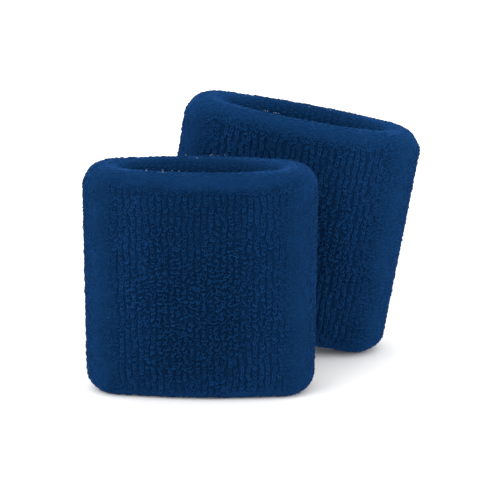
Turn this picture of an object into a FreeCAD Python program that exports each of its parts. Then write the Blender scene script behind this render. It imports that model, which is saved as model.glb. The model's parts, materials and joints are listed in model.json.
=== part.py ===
"""A pair of terry sweat wristbands, as solids in millimetres, one STEP file per piece.

Each band is one knitted tube folded back on itself, so its wall is two layers of fabric with a
narrow gap between them. From the outside in, a layer is cotton terry pile, the ground knit that
the pile stands on, and the elastic yarn laid in behind it. The tube's two cut edges meet half
way up the skin side, where a zigzag seam closes them.

The front band stands upright, with the middle of its base at the origin and its wrist axis
along +Z. The rear band stands behind it, tipped over to one side. +X runs across the bands and
+Y from the front band towards the rear one.
"""

import FreeCAD
import Part

import math
import os

Vector = FreeCAD.Vector

# Band, common to both
HEIGHT = 80.0  # along the wrist
WALL = 9.0  # both layers and the gap between them, on the two flatter sides
END_THICKENING = 1.4  # how many times thicker the fabric is where it bends round the two ends
PILE = 2.8  # height of the terry loops
GROUND = 0.8  # thickness of the knit they stand on
SIDE_BOW = 2.5  # how much deeper the oval is at its middle than across its rounded ends
TOP_RIM_RISE = 6.2  # from where the wall starts to round over to the top
BOTTOM_RIM_RISE = 8.0
RIM_STEPS = 10  # facets round each folded rim
BASE_FLAT = 0.35  # how far the bottom rim is pressed flat by what it stands on

# The closing seam, on the skin side
SEAM_HEIGHT = HEIGHT / 2
SEAM_GROOVE = 4.0  # strip with no pile along the two cut edges
EDGE_GAP = 0.2  # between the cut edges
THREAD_RADIUS = 0.3
THREAD_CLEARANCE = 0.06
STITCH_SAG = 0.15  # how far a straight stitch cuts inside the bend at the oval's ends
STITCH_PITCH = 2.5

# The laid-in elastic
ELASTIC_RADIUS = 0.28
ELASTIC_SIDES = 8
ELASTIC_PITCH = 3.0
ELASTIC_CLEARANCE = 0.05
ELASTIC_END_MARGIN = 10.0  # from the folded rims
ELASTIC_SEAM_MARGIN = 3.0  # from the seam

# The two bands. Width is along X and depth along Y, each at the base and at the top.
# Tilt is about +Y, then turn is about +Z, both in degrees.
FRONT_BAND = {
    "name": "front_band",
    "width": (77.4, 80.0),
    "depth": (28.0, 27.0),
    "tilt": 0.0,
    "turn": 0.0,
    "middle": (0.0, 0.0),
}
REAR_BAND = {
    "name": "rear_band",
    "width": (78.7, 81.4),
    "depth": (28.0, 27.0),
    "tilt": 9.4,
    "turn": -3.2,
    "middle": (21.0, 44.5),
}
FLOOR_CLEARANCE = 0.05  # under the tipped band's lowest point


def at_height(base_and_top, z):
    """A size that changes evenly from the base to the top."""
    base, top = base_and_top
    return base + (top - base) * z / HEIGHT


def oval(band, inset, z):
    """A closed wire of four tangent arcs, that far inside the band's outer face at height z."""
    a = at_height(band["width"], z) / 2 - inset * END_THICKENING
    b = at_height(band["depth"], z) / 2 - inset
    end_radius = b - SIDE_BOW
    side_radius = (a * a + b * b - 2 * a * end_radius) / (2 * (b - end_radius))
    end_centre = a - end_radius
    share = end_radius / (side_radius - end_radius)
    x = end_centre * (1 + share)
    y = (side_radius - b) * share
    corners = [Vector(x, y, z), Vector(-x, y, z), Vector(-x, -y, z), Vector(x, -y, z)]
    middles = [Vector(0, b, z), Vector(-a, 0, z), Vector(0, -b, z), Vector(a, 0, z)]
    arcs = [
        Part.Arc(corners[i], middles[i], corners[(i + 1) % 4]).toShape() for i in range(4)
    ]
    return Part.Wire(arcs)


def ring(band, section):
    """The solid that a closed section of (inset, height) points makes all round the band."""
    faces = []
    for (inset, z), (next_inset, next_z) in zip(section, section[1:] + section[:1]):
        here = oval(band, inset, z)
        there = oval(band, next_inset, next_z)
        if abs(next_z - z) < 1e-9:
            larger, smaller = (here, there) if inset < next_inset else (there, here)
            faces.append(Part.Face(larger).cut(Part.Face(smaller)).Faces[0])
            continue
        for edge, next_edge in zip(here.Edges, there.Edges):
            faces.append(Part.makeRuledSurface(edge, next_edge))
    sewn = Part.makeCompound(faces)
    sewn.sewShape()
    solid = Part.makeSolid(sewn.Shells[0])
    if solid.Volume < 0:
        solid.reverse()
    return solid


def fabric_path(depth, lip):
    """The section line that lies that deep in the folded fabric, from the lower side of the seam,
    round the bottom rim, up the outside, round the top rim and down to the seam's upper side.
    It stops lip short of the seam at each end."""
    half = WALL / 2 - depth
    turn = [math.pi * i / RIM_STEPS for i in range(RIM_STEPS + 1)]
    bottom_centre = BOTTOM_RIM_RISE - BASE_FLAT
    top_centre = HEIGHT - TOP_RIM_RISE
    bottom = [
        (WALL / 2 + half * math.cos(t), bottom_centre - (BOTTOM_RIM_RISE - depth) * math.sin(t))
        for t in turn
    ]
    top = [
        (WALL / 2 - half * math.cos(t), top_centre + (TOP_RIM_RISE - depth) * math.sin(t))
        for t in turn
    ]
    skin_side = WALL - depth
    return [(skin_side, SEAM_HEIGHT - lip)] + bottom + top + [(skin_side, SEAM_HEIGHT + lip)]


def press_flat(path):
    """The path with what would be under the floor cut off level, in one flat land."""
    first = next(i for i, (_, z) in enumerate(path) if z < 0)
    last = max(i for i, (_, z) in enumerate(path) if z < 0)
    land = []
    for above, below in ((first - 1, first), (last + 1, last)):
        (inset, z), (under_inset, under_z) = path[above], path[below]
        land.append((inset + (under_inset - inset) * z / (z - under_z), 0.0))
    return path[:first] + land + path[last + 1 :]


def terry_pile(band):
    """The loops, as one solid layer over the whole of the folded tube but for the seam's strip."""
    lip = SEAM_GROOVE / 2
    outside = press_flat(fabric_path(0.0, lip))
    return ring(band, outside + fabric_path(PILE, lip)[::-1])


def ground_knit(band):
    """The knit under the pile, open by a hair where its cut edges meet."""
    lip = EDGE_GAP / 2
    return ring(band, fabric_path(PILE, lip) + fabric_path(PILE + GROUND, lip)[::-1])


def elastic_courses(band, inset, keep_off_seam):
    """Turns of the covered elastic yarn, each closed on itself, up one wall of the tube."""
    span = HEIGHT - 2 * ELASTIC_END_MARGIN
    count = int(span / ELASTIC_PITCH) + 1
    first = (HEIGHT - (count - 1) * ELASTIC_PITCH) / 2
    corners = [math.pi * (2 * i + 1) / ELASTIC_SIDES for i in range(ELASTIC_SIDES)]
    turns = []
    for i in range(count):
        z = first + i * ELASTIC_PITCH
        if keep_off_seam and abs(z - SEAM_HEIGHT) < ELASTIC_SEAM_MARGIN:
            continue
        section = [
            (inset - ELASTIC_RADIUS * math.cos(t), z + ELASTIC_RADIUS * math.sin(t))
            for t in corners
        ]
        turns.append(ring(band, section))
    return Part.makeCompound(turns)


def outer_elastic(band):
    return elastic_courses(
        band, PILE + GROUND + ELASTIC_RADIUS + ELASTIC_CLEARANCE, keep_off_seam=False
    )


def inner_elastic(band):
    return elastic_courses(
        band, WALL - PILE - GROUND - ELASTIC_RADIUS - ELASTIC_CLEARANCE, keep_off_seam=True
    )


def zigzag(band, inset, first_side):
    """One face of the zigzag seam: a straight stitch for each zig and each zag."""
    half = SEAM_GROOVE / 2 - THREAD_RADIUS - 2 * THREAD_CLEARANCE
    middle = oval(band, inset, SEAM_HEIGHT)
    count = 2 * int(middle.Length / STITCH_PITCH / 2)
    points = middle.discretize(Number=count + 1)[:-1]
    stitches = []
    for i, here in enumerate(points):
        rise = half * first_side * (-1) ** i
        start = here + Vector(0, 0, -rise)
        end = points[(i + 1) % count] + Vector(0, 0, rise)
        gap = (end - start).normalize() * (THREAD_RADIUS + THREAD_CLEARANCE)
        start, end = start + gap, end - gap
        stitches.append(Part.makeCylinder(THREAD_RADIUS, (end - start).Length, start, end - start))
    return Part.makeCompound(stitches)


def needle_thread(band):
    """The seam's thread on the skin side, in the strip with no pile."""
    return zigzag(band, WALL - PILE + THREAD_RADIUS + THREAD_CLEARANCE, 1)


def looper_thread(band):
    """The seam's other thread, in the gap between the two layers."""
    knit_face = WALL - PILE - GROUND
    return zigzag(band, knit_face - STITCH_SAG - THREAD_RADIUS - THREAD_CLEARANCE, -1)


PIECES = {
    "terry_pile": terry_pile,
    "ground_knit": ground_knit,
    "outer_elastic": outer_elastic,
    "inner_elastic": inner_elastic,
    "needle_thread": needle_thread,
    "looper_thread": looper_thread,
}


def placement(band):
    """Tips and turns the band about its base, lifts it off the floor, and moves it into place."""
    tip = FreeCAD.Rotation(Vector(0, 1, 0), band["tilt"])
    turn = FreeCAD.Rotation(Vector(0, 0, 1), band["turn"]).multiply(tip)
    if not band["tilt"]:
        return FreeCAD.Placement(Vector(*band["middle"], 0), turn)
    skin = press_flat(fabric_path(0.0, 0.0))
    points = [p for inset, z in skin for p in oval(band, inset, z).discretize(Number=120)]
    lowest = min(turn.multVec(p).z for p in points)
    return FreeCAD.Placement(Vector(*band["middle"], FLOOR_CLEARANCE - lowest), turn)


def main():
    os.makedirs("parts", exist_ok=True)
    for band in (FRONT_BAND, REAR_BAND):
        place = placement(band)
        print(band["name"], "lifted", round(place.Base.z, 3))
        for piece, make in PIECES.items():
            shape = make(band)
            shape.Placement = place
            node = f"{band['name']}_{piece}"
            print(node, "valid", shape.isValid(), "solids", len(shape.Solids), round(shape.Volume, 1))
            shape.exportStep(f"parts/{node}.step")


main()
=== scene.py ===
"""Two terry sweat wristbands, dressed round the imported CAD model. Everything is in metres.

Each band is a knitted tube folded double. The pile on both of its faces is made of separate
loops of yarn that stand on a backing, in columns called wales, the way a terry knit has them.
"""

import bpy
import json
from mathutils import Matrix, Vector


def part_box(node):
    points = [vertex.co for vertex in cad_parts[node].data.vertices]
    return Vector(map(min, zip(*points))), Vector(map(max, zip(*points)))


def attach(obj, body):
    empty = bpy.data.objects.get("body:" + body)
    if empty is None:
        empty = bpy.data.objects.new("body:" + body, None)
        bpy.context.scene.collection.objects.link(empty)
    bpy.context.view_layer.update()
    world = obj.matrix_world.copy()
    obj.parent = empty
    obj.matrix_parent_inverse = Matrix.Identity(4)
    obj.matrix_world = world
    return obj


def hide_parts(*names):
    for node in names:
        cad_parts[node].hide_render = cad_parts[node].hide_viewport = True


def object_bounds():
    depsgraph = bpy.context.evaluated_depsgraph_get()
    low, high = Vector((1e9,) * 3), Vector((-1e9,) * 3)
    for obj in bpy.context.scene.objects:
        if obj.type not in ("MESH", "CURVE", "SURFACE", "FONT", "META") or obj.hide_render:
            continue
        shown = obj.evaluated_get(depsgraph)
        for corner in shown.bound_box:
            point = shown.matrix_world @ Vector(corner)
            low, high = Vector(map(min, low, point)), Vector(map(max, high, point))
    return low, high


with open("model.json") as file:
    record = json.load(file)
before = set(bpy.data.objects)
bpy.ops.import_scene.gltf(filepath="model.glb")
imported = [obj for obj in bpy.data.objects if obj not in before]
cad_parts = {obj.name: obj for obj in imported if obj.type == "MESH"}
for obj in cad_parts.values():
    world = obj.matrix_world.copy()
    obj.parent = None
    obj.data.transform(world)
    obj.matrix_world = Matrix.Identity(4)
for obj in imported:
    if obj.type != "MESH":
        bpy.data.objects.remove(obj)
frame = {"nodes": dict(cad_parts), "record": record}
CAD_BOX = [list(corner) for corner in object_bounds()]

import json
import math

import bpy
import numpy as np
from mathutils import Matrix, Vector

BODIES = ("front_band", "rear_band")

# The section of the folded wall, as in the CAD model
WALL = 0.009
END_THICKENING = 1.4  # how many times thicker the fabric is where it bends round the two ends
SIDE_BOW = 0.0025  # how much deeper the oval is at its middle than across its rounded ends
TOP_RIM_RISE = 0.0062
BOTTOM_RIM_RISE = 0.008
BASE_FLAT = 0.00035
SEAM_HALF = 0.002  # half of the strip with no pile, on the skin side
SEAM_MARGIN = 0.0001  # between that strip and the first loops
PILE = 0.0028  # how thick the CAD's pile is
MID_PILE = 0.001  # how deep in the pile the surface is that loops and backing are placed from
SECTION_SLIVER = 1e-6  # for telling which points of the section are on its straight faces

# The loops of the pile
WALE_PITCH = 0.0022  # between columns of loops
COURSE_PITCH = 0.0007  # between loops in a column
SKIN_WALES = 64
YARN_RADIUS = 0.00021
LOOP_LENGTH = 0.0013
LOOP_FOOT = 0.00032  # half the width of a loop at its foot
LOOP_BELLY = 0.00056  # how much is added to that half width at mid height
FOOT_SUNK = 0.0003  # how far below the backing's face a loop starts
LOOP_POINTS = 6
LOOP_SIDES = 5
WANDER = 0.006  # how far a column wanders sideways, as a share of an arc of the oval
WANDER_LENGTH = 0.006  # and over what wavelength

# The backing between them
ROOT_DEPTH = 0.0009  # from the pile's face to the backing's
CALM_ROOT_DEPTH = 0.0001  # the same at the rims and the ends, where the pile lies calm
BACKING_ROUND = 288  # faces round the oval, and points along the section
BACKING_SECTION = 170
BACKING_CLEAR = 0.00002  # between its underside and the ground knit

# Where the pile lies calm, as shares of the half width or as heights. Each zone starts at its
# first value and is complete at its second
END_ZONE = (0.62, 0.95)
TOP_ZONE = (0.0070, 0.0025)  # below the top
BOTTOM_ZONE = (0.0050, 0.0018)  # above the base
TIP_ZONE = (0.3, 0.75)  # out from the middle of an end, as a share of the half depth
SKIN_CALM = 0.85
DRIFT_LENGTH = 0.009  # the wavelength that the zones' edges wander with
END_RISE = {"front_band": 0.0004, "rear_band": 0.0007}  # how far the ends stand past the CAD's
END_FILL = 0.0022  # how far the skin side closes in at the two ends of the opening
RIM_SINK = 0.00045  # how far the pile is pressed in at the folded rims

PAINTED_BAND_LIGHT = {"front_band": 0.0, "rear_band": 0.65}  # painted light: how much of the dye's range each band is painted lighter, for the light that falls on it
BACKING_WEAR_AND_SHEEN = 0.3  # how much of the loops' wear and painted sheen shows between them
# how much of a band's painted light its backing takes too
BACKING_BAND_LIGHT = 0.6
SKIN_PAINTED_LIGHT = 0.6  # painted light: how much of the dye's range the skin side, in the shade inside the opening, is painted lighter
SHEEN = {
    "Sheen_Weight": 0.25,
    "Sheen_Roughness": 0.5,
    "Sheen_Tint": (0.05, 0.28, 1.0, 1.0),
}

# Pale lint on the top rims: places round the oval, which start where the back's long side does
LINT_PATCHES = {"front_band": (2.69, 0.36, 0.56), "rear_band": (2.7, 0.4, 0.62)}
LINT_FIBRES = 5  # in a patch
LINT_RADIUS = 0.00008
LINT_LENGTH = 0.00055
LINT_HEIGHT = 0.0002  # above the pile's face

# The camera, round the front band's middle
CAMERA_TURN = math.radians(2.2)
CAMERA_RAISE = math.radians(19.0)
CAMERA_DISTANCE = 3.0
VIEW_WIDTH = 0.169
VIEW_RIGHT = 0.0168  # from the front band's middle to the middle of the view
VIEW_UP = 0.0089
SENSOR_WIDTH = 36.0  # millimetres, as Blender takes it

# The room
FLOOR_HALF = 4.0
FLOOR_GAP = 0.0002
WORLD_STRENGTH = 1.5
LAMP_WIDTH = 0.8
LAMPS = {"key": ((-0.7, -0.8, 1.0), 6.5), "fill": ((0.9, -0.5, 0.6), 1.5)}  # place and watts
LAMPS_AIM = (0.01, 0.02, 0.04)


# The shape of a band


def fabric_section(height, depth):
    """The wall's section that deep in the fabric, as (inset, height) points a hair apart.

    It runs from below the seam, round the bottom rim, up the outside, round the top rim and
    down the skin side to above the seam."""
    half = WALL / 2 - depth
    bottom, top, seam = BOTTOM_RIM_RISE - BASE_FLAT, height - TOP_RIM_RISE, height / 2
    turn = np.linspace(0, math.pi, 60)
    up = np.linspace(0, 1, 120)[1:-1]
    pieces = [
        (WALL - depth + 0 * up, seam - SEAM_HALF + (bottom - seam + SEAM_HALF) * up),
        (WALL / 2 + half * np.cos(turn), bottom - (BOTTOM_RIM_RISE - depth) * np.sin(turn)),
        (depth + 0 * up, bottom + (top - bottom) * up),
        (WALL / 2 - half * np.cos(turn), top + (TOP_RIM_RISE - depth) * np.sin(turn)),
        (WALL - depth + 0 * up, top + (seam + SEAM_HALF - top) * up),
    ]
    return np.concatenate([np.stack(piece, axis=1) for piece in pieces])


def lengths_along(points):
    """How far along a line of points each one is."""
    steps = np.linalg.norm(np.diff(points, axis=0), axis=1)
    return np.concatenate([[0], np.cumsum(steps)])


class Band:
    """The place and the size of one band, read from the frame."""

    def __init__(self, body):
        self.body = body
        mounts = {m["name"]: m for m in frame["record"]["mounts"]}
        mount = mounts[f"{body}_wrist_opening"]
        axis = mount["axis"]
        self.place = (
            Matrix.Translation(mount["pos_m"])
            @ Matrix.Rotation(math.atan2(axis[1], axis[0]), 4, "Z")
            @ Matrix.Rotation(math.acos(min(1.0, axis[2])), 4, "Y")
        )
        points = self.local_points(frame["nodes"][f"{body}_terry_pile"])
        self.height = points[:, 2].max()
        low, high = self.widest_ring(points, 0), self.widest_ring(points, 1)
        self.slope = (high - low) / (high[2] - low[2])
        self.base = low - self.slope * low[2]
        self.section = fabric_section(self.height, MID_PILE)
        self.section_at = lengths_along(self.section)

    def local_points(self, node):
        """A CAD node's points in the band's own frame, upright with its base at the origin."""
        points = np.empty(len(node.data.vertices) * 3)
        node.data.vertices.foreach_get("co", points)
        back = np.array(self.place.inverted())
        return points.reshape(-1, 3) @ back[:3, :3].T + back[:3, 3]

    def widest_ring(self, points, half):
        """Half width, half depth and height of the band where its lower or upper half is widest."""
        part = points[(points[:, 2] > self.height / 2) == bool(half)]
        widest = part[np.argmax(np.abs(part[:, 0]))]
        ring = part[np.abs(part[:, 2] - widest[2]) < 1e-4]
        return np.array([np.abs(ring[:, 0]).max(), np.abs(ring[:, 1]).max(), widest[2]])

    def oval(self, around, inset, z):
        """Points on the oval of four tangent arcs, that far inside the outer face at height z.

        around runs from 0 to 4, one arc to each whole number: back, right, front and left."""
        a = self.base[0] + self.slope[0] * z - inset * END_THICKENING
        b = self.base[1] + self.slope[1] * z - inset
        end_radius = b - SIDE_BOW
        side_radius = (a * a + b * b - 2 * a * end_radius) / (2 * (b - end_radius))
        half_side = np.arctan2(a - end_radius, side_radius - b)
        arc = np.floor(around).astype(int) % 4
        across = (around - np.floor(around)) * 2 - 1
        on_side = arc % 2 == 0
        end_angle = math.pi / 2 + across * (math.pi / 2 - half_side)
        angle = np.where(on_side, across * half_side, end_angle)
        radius = np.where(on_side, side_radius, end_radius)
        x = np.where(on_side, 0.0, a - end_radius) + radius * np.sin(angle)
        y = np.where(on_side, b - side_radius, 0.0) + radius * np.cos(angle)
        flip = np.where(arc >= 2, -1.0, 1.0)
        return np.stack([x * flip, y * flip, z + 0 * x], axis=-1)

    def surface(self, around, along):
        """Points half way into the pile, for places round the oval and lengths along the section.

        The skin side is pinched together at the two ends."""
        inset = np.interp(along, self.section_at, self.section[:, 0])
        z = np.interp(along, self.section_at, self.section[:, 1])
        from_middle = np.abs((around + 0.5) % 2 - 1)  # 0.5 where a long side meets an end
        pinch = END_FILL * ease(from_middle, 0.15, 0.55) * ease(inset, WALL * 0.5, WALL * 0.8)
        return self.oval(around, inset + pinch, np.maximum(z, MID_PILE))

    def directions(self, around, along):
        """Unit directions across a wale, along it, and out of the fabric."""
        across = self.surface(around + 1e-3, along) - self.surface(around - 1e-3, along)
        up = self.surface(around, along + 5e-5) - self.surface(around, along - 5e-5)
        out = np.cross(up, across)
        out /= np.linalg.norm(out, axis=-1, keepdims=True)
        up /= np.linalg.norm(up, axis=-1, keepdims=True)
        return np.cross(out, up), up, out

    def reach(self, points, inset):
        """How far towards the ends of its own oval each point is, from 0 to 1."""
        half_width = self.base[0] + self.slope[0] * points[..., 2] - inset * END_THICKENING
        return np.abs(points[..., 0]) / half_width

    def zones(self, points, along):
        """How far the rounded ends, the two rims and the skin side reach there, from 0 to 1."""
        inset = np.interp(along, self.section_at, self.section[:, 0])
        drift = waves(points, 3, DRIFT_LENGTH)
        up = points[..., 2]
        ends = ease(self.reach(points, inset) + 0.03 * drift, *END_ZONE)
        top = ease(up + 0.0006 * drift, self.height - TOP_ZONE[0], self.height - TOP_ZONE[1])
        bottom = ease(-up + 0.0006 * drift, -BOTTOM_ZONE[0], -BOTTOM_ZONE[1])
        return ends, np.maximum(top, bottom), ease(inset, WALL * 0.4, WALL * 0.7)

    def calm(self, points, along):
        """From 0 where the pile stands up to 1 where it lies smooth: rims, ends and skin side.

        It stands up again a little on the very tips of the ends."""
        ends, rims, skin = self.zones(points, along)
        half_depth = self.base[1] + self.slope[1] * points[..., 2]
        tip = ends * (1 - ease(np.abs(points[..., 1]) / half_depth, *TIP_ZONE))
        return np.maximum.reduce([ends * (1 - 0.4 * tip), rims, SKIN_CALM * skin])

    def wear_and_painted_light(self, points, along):
        """How much lighter the pile is painted: partly wear, partly painted sheen where the fabric
        turns away beside the ends and over the rims, and lighter near the base.
        """
        ends, rims, skin = self.zones(points, along)
        inset = np.interp(along, self.section_at, self.section[:, 0])
        toward_ends = ease(self.reach(points, inset), 0.25, 0.6)
        foot = ease(-points[..., 2], -0.012, -0.003)
        wear_and_light_mask = np.maximum.reduce([toward_ends * (1 - 0.85 * ends), foot, 0.45 * rims])
        return wear_and_light_mask * (1 - 0.6 * skin * (1 - ends))

    def lift(self, points, along):
        """How far the pile's face stands out past the CAD's.

        The bottom rim keeps to the CAD at the two ends of the band."""
        ends, rims, skin = self.zones(points, along)
        lower = points[..., 2] < self.height / 2
        sunk = RIM_SINK * rims * (1 - ends * lower)
        return (END_RISE[self.body] * ends * (1 - rims) - sunk) * (1 - skin)

    def order(self, points):
        """From 0 where the loops curl about to 1 where they lie in straight columns."""
        across = self.reach(points, 0.0) / 0.55
        up = (points[..., 2] / self.height - 0.42) / 0.33
        return ease(np.hypot(across, up) + 0.3 * waves(points, 5, 0.018), 0.3, 1.4)

    def wales(self, count, inset):
        """Places round the oval for that many equally spaced wales."""
        around = np.linspace(0, 4, 2001)
        length = lengths_along(self.oval(around, inset, self.height / 2 + 0 * around))
        return np.interp(length[-1] * (np.arange(count) + 0.5) / count, length, around)


def ease(value, start, end):
    """A smooth step from 0 at start to 1 at end."""
    share = np.clip((value - start) / (end - start), 0, 1)
    return share * share * (3 - 2 * share)


def waves(points, seed, wavelength, count=10):
    """A smooth field from -1 to 1, the sum of a few waves in seeded directions."""
    rng = np.random.default_rng(seed)
    total = 0
    for _ in range(count):
        way = rng.normal(size=3)
        way *= rng.uniform(0.7, 1.4) * 2 * math.pi / wavelength / np.linalg.norm(way)
        total = total + np.sin(points @ way + rng.uniform(0, 2 * math.pi))
    return total / math.sqrt(count)


# Meshes


def new_mesh(name, points, face_tables, band):
    """An object from points in the band's own frame and tables of faces, one size to a table."""
    corners = np.concatenate([table.ravel() for table in face_tables])
    sizes = np.concatenate([np.full(len(table), table.shape[1]) for table in face_tables])
    mesh = bpy.data.meshes.new(name)
    mesh.vertices.add(len(points))
    mesh.vertices.foreach_set("co", points.astype(np.float32).ravel())
    mesh.loops.add(len(corners))
    mesh.loops.foreach_set("vertex_index", corners.astype(np.int32))
    mesh.polygons.add(len(sizes))
    mesh.polygons.foreach_set("loop_start", (np.cumsum(sizes) - sizes).astype(np.int32))
    mesh.update(calc_edges=True)
    mesh.shade_smooth()
    mesh.transform(band.place)
    piece = bpy.data.objects.new(name, mesh)
    bpy.context.scene.collection.objects.link(piece)
    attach(piece, band.body)
    return piece


def set_attribute(piece, name, values):
    """A value at each point, for the material to read."""
    layer = piece.data.attributes.new(name, "FLOAT", "POINT")
    layer.data.foreach_set("value", values.astype(np.float32).ravel())


def tube_faces(tubes, points, sides):
    """The sides and the two ends of that many tubes, each a row of rings."""
    ring = np.arange(points - 1)[:, None] * sides
    side = np.arange(sides)[None, :]
    following = (side + 1) % sides
    quad = np.stack(
        [ring + side, ring + following, ring + sides + following, ring + sides + side], axis=-1
    ).reshape(1, -1, 4)
    ends = np.stack([np.arange(sides)[::-1], (points - 1) * sides + np.arange(sides)])[None]
    first = np.arange(tubes)[:, None, None] * points * sides
    return (first + quad).reshape(-1, 4), (first + ends).reshape(-1, sides)


def tube_uv(piece, tubes, points, sides):
    """Round the yarn in u and along it in v."""
    ring = np.arange(points - 1)[:, None]
    side = np.arange(sides)[None, :]
    u = np.stack([side, side + 1, side + 1, side], axis=-1) / sides + 0 * ring[..., None]
    v = np.stack([ring, ring, ring + 1, ring + 1], axis=-1) / (points - 1) + 0 * side[..., None]
    around_end = np.arange(sides) / sides
    ends = np.stack([np.concatenate([around_end[::-1], around_end]), np.repeat([0.0, 1.0], sides)])
    walls = np.stack([u, v], axis=-1).reshape(-1)
    corners = np.concatenate([np.tile(walls, tubes), np.tile(ends.T.ravel(), tubes)])
    layer = piece.data.uv_layers.new(name="yarn")
    layer.data.foreach_set("uv", corners.astype(np.float32))


def tubes(name, centre, flat, radius, band):
    """One piece of closed tubes, each round a row of points that lies across its flat direction."""
    count, points = centre.shape[:2]
    tangent = np.gradient(centre, axis=1)
    tangent /= np.linalg.norm(tangent, axis=-1, keepdims=True)
    first = np.cross(tangent, flat[:, None, :])
    first /= np.linalg.norm(first, axis=-1, keepdims=True)
    second = np.cross(tangent, first)
    angle = 2 * math.pi * np.arange(LOOP_SIDES) / LOOP_SIDES
    ring = np.cos(angle)[:, None] * first[:, :, None, :]
    ring = ring + np.sin(angle)[:, None] * second[:, :, None, :]
    skin = centre[:, :, None, :] + radius[:, None, None, None] * ring
    piece = new_mesh(name, skin.reshape(-1, 3), tube_faces(count, points, LOOP_SIDES), band)
    tube_uv(piece, count, points, LOOP_SIDES)
    return piece


# The pieces of a band


def loop_places(band, start, end, wales, seed):
    """Where the loops between two lengths along the section stand, closer together where calm."""
    rng = np.random.default_rng(seed)
    rows = np.arange(start + COURSE_PITCH / 2, end, COURSE_PITCH / 2)
    wale, row = (n.ravel() for n in np.meshgrid(np.arange(2 * wales), np.arange(len(rows))))
    around, along = band.wales(2 * wales, 0.0)[wale], rows[row]
    middle = band.surface(around, along)
    ends, rims, skin = band.zones(middle, along)
    extra = np.maximum(ends, rims) * (1 - skin) > rng.uniform(0.1, 0.9, wale.size)
    kept = (wale % 2 == 0) & (row % 2 == 0) | (wale % 2 == 1) & (row % 2 == 1) & extra
    around, along, middle = around[kept], along[kept], middle[kept]
    loose = 1 - band.order(middle)
    around = around + WANDER * waves(middle, seed, WANDER_LENGTH)
    around = around + rng.normal(0, 1, around.size) * (0.0015 + 0.005 * loose)
    along = along + rng.normal(0, 1, along.size) * (0.00012 + 0.0002 * loose)
    return around, np.clip(along, SEAM_MARGIN, band.section_at[-1] - SEAM_MARGIN)


def yarn_loops(band, name, around, along, seed):
    """One piece of pile: a loop of yarn at each place, leaning along its wale."""
    rng = np.random.default_rng(seed)
    count = len(around)
    middle = band.surface(around, along)
    across, up, out = band.directions(around, along)
    calm = band.calm(middle, along)
    order = np.maximum(calm, band.order(middle))
    root = FOOT_SUNK + ROOT_DEPTH + (CALM_ROOT_DEPTH - ROOT_DEPTH) * calm
    root -= band.lift(middle, along)
    foot = middle + (MID_PILE - root)[:, None] * out
    sway = 0.35 - 0.15 * order - 0.15 * calm
    lean = 0.3 + 0.5 * order + 0.5 * calm + rng.normal(0, 1, count) * sway
    lean *= np.where(rng.uniform(0, 1, count) < 0.2 * (1 - order), -1, 1)
    turn = rng.normal(0, 1, count) * (0.5 - 0.18 * order + 0.2 * calm)
    width = rng.uniform(0.85, 1.15, count) * (1 + 0.1 * calm)
    length = LOOP_LENGTH * rng.uniform(0.8, 1.2, count) * (1 - 0.35 * calm)
    curl = rng.normal(0, 0.0002, count) * (1 - 0.7 * order)
    spin = np.cos(turn)[:, None] * across + np.sin(turn)[:, None] * up
    rise = np.cos(lean)[:, None] * out + np.sin(lean)[:, None] * np.cross(out, spin)
    flat = np.cross(spin, rise)
    t = np.linspace(0, math.pi, LOOP_POINTS)[None, :]
    side = -np.cos(t) * (LOOP_FOOT + LOOP_BELLY * np.sin(t)) * width[:, None]
    high = np.sin(t) ** 0.75 * length[:, None]
    bend = np.sin(2 * t) * curl[:, None]
    centre = (
        foot[:, None, :]
        + side[..., None] * spin[:, None, :]
        + high[..., None] * rise[:, None, :]
        + bend[..., None] * flat[:, None, :]
    )
    radius = YARN_RADIUS * rng.uniform(0.9, 1.1, count) * (1 - 0.2 * calm)
    centre[..., 2] = np.maximum(centre[..., 2], radius[:, None])
    piece = tubes(name, centre, flat, radius, band)
    per_loop = LOOP_POINTS * LOOP_SIDES
    # each loop's own random tone, plus painted light: the whole band, and its skin side in the
    # opening, painted lighter
    tone = PAINTED_BAND_LIGHT[band.body] + rng.uniform(0, 1, count) + SKIN_PAINTED_LIGHT * band.zones(middle, along)[2]
    set_attribute(piece, "tone", np.repeat(tone, per_loop))
    set_attribute(piece, "crown", np.tile(np.repeat(np.sin(t[0]), LOOP_SIDES), count))
    # wear and painted sheen: how much lighter each loop is painted
    set_attribute(piece, "wear_and_painted_light", np.repeat(band.wear_and_painted_light(middle, along), per_loop))
    return piece


def pile(band, seed):
    """All the loops of a band, in pieces: four faces outside, the two rims and the skin side."""
    ring = np.linspace(0, 4, 801)
    girth = lengths_along(band.oval(ring, 0.0, band.height / 2 + 0 * ring))[-1]
    inset, at = band.section[:, 0], band.section_at
    on_face = at[inset < MID_PILE + SECTION_SLIVER]
    on_skin = at[inset > WALL - MID_PILE - SECTION_SLIVER]
    face_start, face_end = on_face.min(), on_face.max()
    skin_low_end = on_skin[on_skin < face_start].max()
    skin_high_start = on_skin[on_skin > face_end].min()
    outer_wales = round(girth / WALE_PITCH)
    regions = (
        ("lower_skin", 0.0, skin_low_end, SKIN_WALES),
        ("bottom_rim", skin_low_end, face_start, outer_wales),
        ("face", face_start, face_end, outer_wales),
        ("top_rim", face_end, skin_high_start, outer_wales),
        ("upper_skin", skin_high_start, at[-1], SKIN_WALES),
    )
    pieces = []
    for name, start, end, wales in regions:
        seed += 10
        around, along = loop_places(band, start, end, wales, seed)
        sides = np.floor(around % 4).astype(int)
        parts = [(name, sides >= 0)]
        if name == "face":
            words = ("back", "right", "front", "left")
            parts = [(word, sides == i) for i, word in enumerate(words)]
        for word, part in parts:
            seed += 10
            full_name = f"{band.body}_{word}_loops"
            pieces.append(yarn_loops(band, full_name, around[part], along[part], seed))
    return pieces


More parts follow.
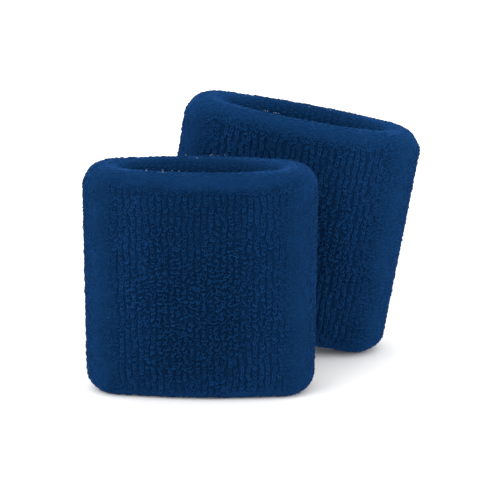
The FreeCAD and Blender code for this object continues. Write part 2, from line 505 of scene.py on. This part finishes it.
def lint(band, seed):
    """A few stray pale fibres caught on the top rim."""
    rng = np.random.default_rng(seed)
    patches = LINT_PATCHES[band.body]
    count = LINT_FIBRES * len(patches)
    crown = band.section_at[np.argmax(band.section[:, 1])]
    around = np.repeat(patches, LINT_FIBRES) + rng.normal(0, 0.045, count)
    along = crown + rng.normal(0.0004, 0.0008, count)
    across, up, out = band.directions(around, along)
    turn = rng.uniform(0, math.pi, count)[:, None]
    way = np.cos(turn) * across + np.sin(turn) * up
    middle = band.surface(around, along) + (MID_PILE + LINT_HEIGHT) * out
    t = np.linspace(-1, 1, LOOP_POINTS)[None, :, None]
    reach = (LINT_LENGTH / 2 * rng.uniform(0.5, 1.3, count))[:, None, None]
    centre = middle[:, None, :] + t * reach * way[:, None, :]
    centre = centre + (1 - t * t) * reach * out[:, None, :]
    radius = np.full(count, LINT_RADIUS)
    return tubes(f"{band.body}_lint", centre, np.cross(way, out), radius, band)


def backing(band):
    """The roots of the pile: a closed shell over the ground knit."""
    around = np.linspace(0, 4, BACKING_ROUND, endpoint=False)
    along = np.linspace(0, band.section_at[-1], BACKING_SECTION)
    grid_around, grid_along = np.meshgrid(around, along)
    middle = band.surface(grid_around, grid_along)
    out = band.directions(grid_around, grid_along)[2]
    depth = ROOT_DEPTH + (CALM_ROOT_DEPTH - ROOT_DEPTH) * band.calm(middle, grid_along)
    depth -= band.lift(middle, grid_along)
    ends, rims, skin = band.zones(middle, grid_along)
    # painted light over painted shade: the backing is painted as light as the yarn at the calm ends
    # and rims, and lighter with the loops' wear, their painted sheen and the band's painted light
    wear_and_light_mask = BACKING_WEAR_AND_SHEEN * band.wear_and_painted_light(middle, grid_along) + BACKING_BAND_LIGHT * PAINTED_BAND_LIGHT[band.body]
    wear_and_painted_light = np.maximum.reduce([ends, rims, wear_and_light_mask]) * (1 - 0.6 * skin * (1 - ends))
    face = middle + (MID_PILE - depth)[..., None] * out
    underside = middle + (MID_PILE - PILE + BACKING_CLEAR) * out
    rows = np.concatenate([face, underside[::-1]])
    row = np.arange(len(rows))[:, None]
    column = np.arange(BACKING_ROUND)[None, :]
    next_row, next_column = (row + 1) % len(rows), (column + 1) % BACKING_ROUND
    corners = ((row, column), (next_row, column), (next_row, next_column), (row, next_column))
    quads = np.stack([r * BACKING_ROUND + c for r, c in corners], axis=-1).reshape(-1, 4)
    piece = new_mesh(f"{band.body}_pile_backing", rows.reshape(-1, 3), [quads], band)
    set_attribute(piece, "wear_and_painted_light", np.concatenate([wear_and_painted_light, wear_and_painted_light[::-1]]).ravel())
    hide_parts(f"{band.body}_terry_pile")
    return piece


# Materials


class Shader:
    """A node material under construction, with a Principled shader at its end."""

    def __init__(self, name):
        self.material = bpy.data.materials.new(name)
        self.material.use_nodes = True
        self.tree = self.material.node_tree
        self.principled = self.tree.nodes["Principled BSDF"]

    def node(self, kind, **inputs):
        """A node, with its inputs set from values or linked from other nodes' outputs."""
        node = self.tree.nodes.new(kind)
        for name, value in inputs.items():
            self.put(node.inputs[name.replace("_", " ")], value)
        return node

    def put(self, socket, value):
        """Link another node's output to a socket, or set its value."""
        if isinstance(value, bpy.types.NodeSocket):
            self.tree.links.new(value, socket)
        else:
            socket.default_value = value

    def math(self, operation, *values):
        node = self.tree.nodes.new("ShaderNodeMath")
        node.operation = operation
        for socket, value in zip(node.inputs, values):
            self.put(socket, value)
        return node.outputs[0]

    def attribute(self, name):
        node = self.tree.nodes.new("ShaderNodeAttribute")
        node.attribute_name = name
        return node.outputs["Fac"]

    def noise(self, scale, detail=3.0):
        place = self.node("ShaderNodeTexCoord").outputs["Object"]
        return self.node(
            "ShaderNodeTexNoise", Vector=place, Scale=scale, Detail=detail
        ).outputs["Fac"]

    def ramp(self, factor, *stops):
        node = self.node("ShaderNodeValToRGB", Fac=factor)
        for _ in stops[2:]:
            node.color_ramp.elements.new(0.5)
        for element, (position, colour) in zip(node.color_ramp.elements, stops):
            element.position = position
            element.color = (*colour, 1.0)
        return node.outputs["Color"]

    def mix(self, kind, factor, first, second):
        node = self.tree.nodes.new("ShaderNodeMix")
        node.data_type = "RGBA"
        node.blend_type = kind
        self.put(node.inputs["Factor"], factor)
        self.put(node.inputs[6], first)
        self.put(node.inputs[7], second)
        return node.outputs[2]

    def bump(self, height, distance):
        return self.node("ShaderNodeBump", Height=height, Distance=distance).outputs["Normal"]

    def finish(self, **inputs):
        """Set the Principled shader's inputs and return the material."""
        for name, value in inputs.items():
            self.put(self.principled.inputs[name.replace("_", " ")], value)
        return self.material


def terry_yarn():
    """Dyed cotton loops: painted shade darkens them at the roots, each loop its own tone, lighter
    with wear and painted sheen, two plies twisted.
    """
    shader = Shader("terry_yarn")
    tone = shader.math("ADD", shader.attribute("tone"), shader.noise(60.0))
    colour = shader.ramp(
        shader.math("MULTIPLY", tone, 0.5),
        (0.15, (0.0014, 0.0150, 0.0480)),
        (0.50, (0.0022, 0.0228, 0.0725)),
        (0.95, (0.0036, 0.0338, 0.1040)),
    )
    # painted shade: each loop is painted darker towards its feet, down among the others
    root = shader.ramp(shader.attribute("crown"), (0.0, (0.45, 0.45, 0.45)), (0.8, (1.0, 1.0, 1.0)))
    shaded_at_roots = shader.mix("MULTIPLY", 1.0, colour, root)
    # wear and painted sheen: the loops' colour painted lighter
    wear_and_painted_light = shader.mix("MULTIPLY", 1.0, colour, (1.52, 1.22, 1.27, 1.0))
    uv = shader.node("ShaderNodeUVMap")
    uv.uv_map = "yarn"
    split = shader.node("ShaderNodeSeparateXYZ", Vector=uv.outputs["UV"])
    turn = shader.math("ADD", split.outputs["X"], shader.math("MULTIPLY", split.outputs["Y"], 2.5))
    twist = shader.math("SINE", shader.math("MULTIPLY", turn, 4 * math.pi))
    fibres = shader.math("ADD", twist, shader.noise(9000.0, 2.0))
    return shader.finish(
        Base_Color=shader.mix("MIX", shader.attribute("wear_and_painted_light"), shaded_at_roots, wear_and_painted_light),
        Roughness=shader.math("ADD", 0.8, shader.math("MULTIPLY", shader.noise(900.0), 0.2)),
        Normal=shader.bump(fibres, 0.00003),
        Specular_IOR_Level=0.03,
        **SHEEN,
    )


def backing_fabric():
    """The roots between the loops, with painted shade: dark where the pile stands tall over them,
    as light as the yarn where calm, worn or painted lighter.
    """
    shader = Shader("pile_roots")
    grain = shader.noise(1500.0)
    # painted shade: the roots are painted darker where they lie deep among standing loops
    deep = shader.ramp(grain, (0.3, (0.0010, 0.0092, 0.030)), (0.7, (0.0016, 0.0135, 0.044)))
    calm = shader.ramp(grain, (0.3, (0.0024, 0.0195, 0.063)), (0.7, (0.0030, 0.023, 0.075)))
    return shader.finish(
        Base_Color=shader.mix("MIX", shader.attribute("wear_and_painted_light"), deep, calm),
        Roughness=shader.math("ADD", 0.85, shader.math("MULTIPLY", grain, 0.15)),
        Normal=shader.bump(grain, 0.0002),
        Specular_IOR_Level=0.02,
        **SHEEN,
    )


def plain_cloth(name, dark, light, scale):
    """A dyed thread or knit with fine variation, for what hardly shows."""
    shader = Shader(name)
    grain = shader.noise(scale)
    return shader.finish(
        Base_Color=shader.ramp(grain, (0.3, dark), (0.7, light)),
        Roughness=shader.math("ADD", 0.6, shader.math("MULTIPLY", grain, 0.3)),
        Normal=shader.bump(grain, 0.0001),
    )


# The room


def studio():
    """A white floor, a white world, and soft lamps over and beside the camera."""
    floor_mesh = bpy.data.meshes.new("floor")
    corners = ((-1, -1), (1, -1), (1, 1), (-1, 1))
    floor_mesh.from_pydata(
        [(FLOOR_HALF * x, FLOOR_HALF * y, 0) for x, y in corners], [], [(0, 1, 2, 3)]
    )
    floor = bpy.data.objects.new("floor", floor_mesh)
    floor.location.z = CAD_BOX[0][2] - FLOOR_GAP
    bpy.context.scene.collection.objects.link(floor)
    shader = Shader("floor_paint")
    floor_mesh.materials.append(
        shader.finish(Base_Color=(0.9, 0.9, 0.9, 1.0), Roughness=0.9, Specular_IOR_Level=0.0)
    )
    world = bpy.data.worlds.new("studio")
    world.use_nodes = True
    world.node_tree.nodes["Background"].inputs["Color"].default_value = (1.0, 1.0, 1.0, 1.0)
    world.node_tree.nodes["Background"].inputs["Strength"].default_value = WORLD_STRENGTH
    bpy.context.scene.world = world
    for name, (where, power) in LAMPS.items():
        light = bpy.data.lights.new(name, "AREA")
        light.size = LAMP_WIDTH
        light.energy = power
        lamp = bpy.data.objects.new(name, light)
        lamp.location = where
        towards = Vector(LAMPS_AIM) - lamp.location
        lamp.rotation_euler = towards.to_track_quat("-Z", "Y").to_euler()
        bpy.context.scene.collection.objects.link(lamp)


def camera():
    """A long lens, looking slightly down at the pair."""
    low, high = (Vector(corner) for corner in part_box("front_band_terry_pile"))
    away = Vector(
        (
            math.sin(CAMERA_TURN) * math.cos(CAMERA_RAISE),
            -math.cos(CAMERA_TURN) * math.cos(CAMERA_RAISE),
            math.sin(CAMERA_RAISE),
        )
    )
    right = Vector((math.cos(CAMERA_TURN), math.sin(CAMERA_TURN), 0.0))
    up = away.cross(right)
    data = bpy.data.cameras.new("camera")
    data.sensor_width = SENSOR_WIDTH
    data.lens = SENSOR_WIDTH * CAMERA_DISTANCE / VIEW_WIDTH
    data.clip_end = 20.0
    viewer = bpy.data.objects.new("camera", data)
    aim = (low + high) / 2 + right * VIEW_RIGHT + up * VIEW_UP
    viewer.location = aim + away * CAMERA_DISTANCE
    viewer.rotation_euler = away.to_track_quat("Z", "Y").to_euler()
    bpy.context.scene.collection.objects.link(viewer)
    bpy.context.scene.camera = viewer


def main():
    """The camera, the room, and each band's pile, backing, lint and inside pieces."""
    camera()
    studio()
    bpy.context.scene.view_settings.view_transform = "Standard"
    yarn, roots = terry_yarn(), backing_fabric()
    fluff = plain_cloth("lint", (0.08, 0.13, 0.22), (0.28, 0.35, 0.45), 3000.0)
    hidden = {
        "ground_knit": plain_cloth("knit", (0.004, 0.024, 0.08), (0.007, 0.036, 0.115), 1200.0),
        "outer_elastic": plain_cloth("elastic", (0.01, 0.03, 0.08), (0.015, 0.045, 0.12), 2500.0),
        "needle_thread": plain_cloth("thread", (0.007, 0.038, 0.125), (0.011, 0.055, 0.17), 4000.0),
    }
    hidden["inner_elastic"] = hidden["outer_elastic"]
    hidden["looper_thread"] = hidden["needle_thread"]
    for number, body in enumerate(BODIES):
        band = Band(body)
        for piece in pile(band, 1000 * (number + 1)):
            piece.data.materials.append(yarn)
        backing(band).data.materials.append(roots)
        lint(band, 77 + number).data.materials.append(fluff)
        for name, material in hidden.items():
            node = frame["nodes"][f"{body}_{name}"]
            for slot in node.material_slots:
                slot.material = material


main()
